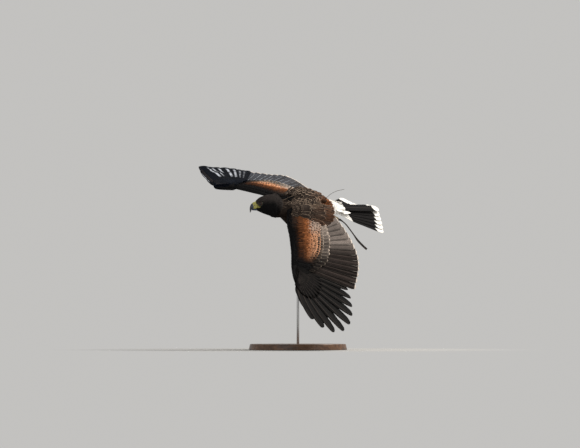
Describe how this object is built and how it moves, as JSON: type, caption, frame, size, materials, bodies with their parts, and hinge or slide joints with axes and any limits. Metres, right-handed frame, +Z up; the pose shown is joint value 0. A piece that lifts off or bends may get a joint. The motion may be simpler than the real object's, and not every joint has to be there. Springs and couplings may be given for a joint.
{
  "type": "harris hawk",
  "caption": "Still life-size Harris hawk in banked flight, wings and tail spread, legs folded back with leather straps, held over a flat round base by a rod.",
  "frame": {"origin": "centre of the underside of the round base, under the rod", "axes": "+Z up; the bird flies towards -X and -Y, 43 degrees from -X towards -Y, banked with its left wing down, so that its back faces -Y"},
  "size_m": [0.5556, 0.6642, 0.564],
  "materials": {
    "plumage": "dark brown body feathers with paler edges on the back",
    "wing_feathers": "dark brown flight feathers with pale tips, chestnut coverts at the shoulder",
    "tail_feathers": "blackish tail with white base and white tips",
    "leg_feathers": "chestnut leg feathers",
    "bill": "blue-grey horn with a black hook and a yellow cere",
    "eye": "dark brown iris, polished",
    "leg_skin": "yellow scaled skin",
    "claw": "black horn",
    "leather": "dark greased leather",
    "tracker": "black moulded case and coated wire",
    "stand_wood": "dark oiled hardwood",
    "stand_steel": "brushed"
  },
  "bodies": {
    "root": {"head": "plumage", "neck": "plumage", "torso": "plumage", "bill_upper": "bill", "bill_lower": "bill", "eye_left": "eye", "eye_right": "eye", "tail": "tail_feathers", "tracker": "tracker", "aerial": "tracker", "stand_base": "stand_wood", "stand_rod": "stand_steel", "wing_left_arm": "wing_feathers", "wing_left_hand": "wing_feathers", "thigh_left": "leg_feathers", "foot_left": "leg_skin", "cuff_left": "leather", "jess_left": "leather", "claw_left_inner": "claw", "claw_left_middle": "claw", "claw_left_outer": "claw", "claw_left_hind": "claw", "wing_right_arm": "wing_feathers", "wing_right_hand": "wing_feathers", "thigh_right": "leg_feathers", "foot_right": "leg_skin", "cuff_right": "leather", "jess_right": "leather", "claw_right_inner": "claw", "claw_right_middle": "claw", "claw_right_outer": "claw", "claw_right_hind": "claw"}
  },
  "joints": []
}
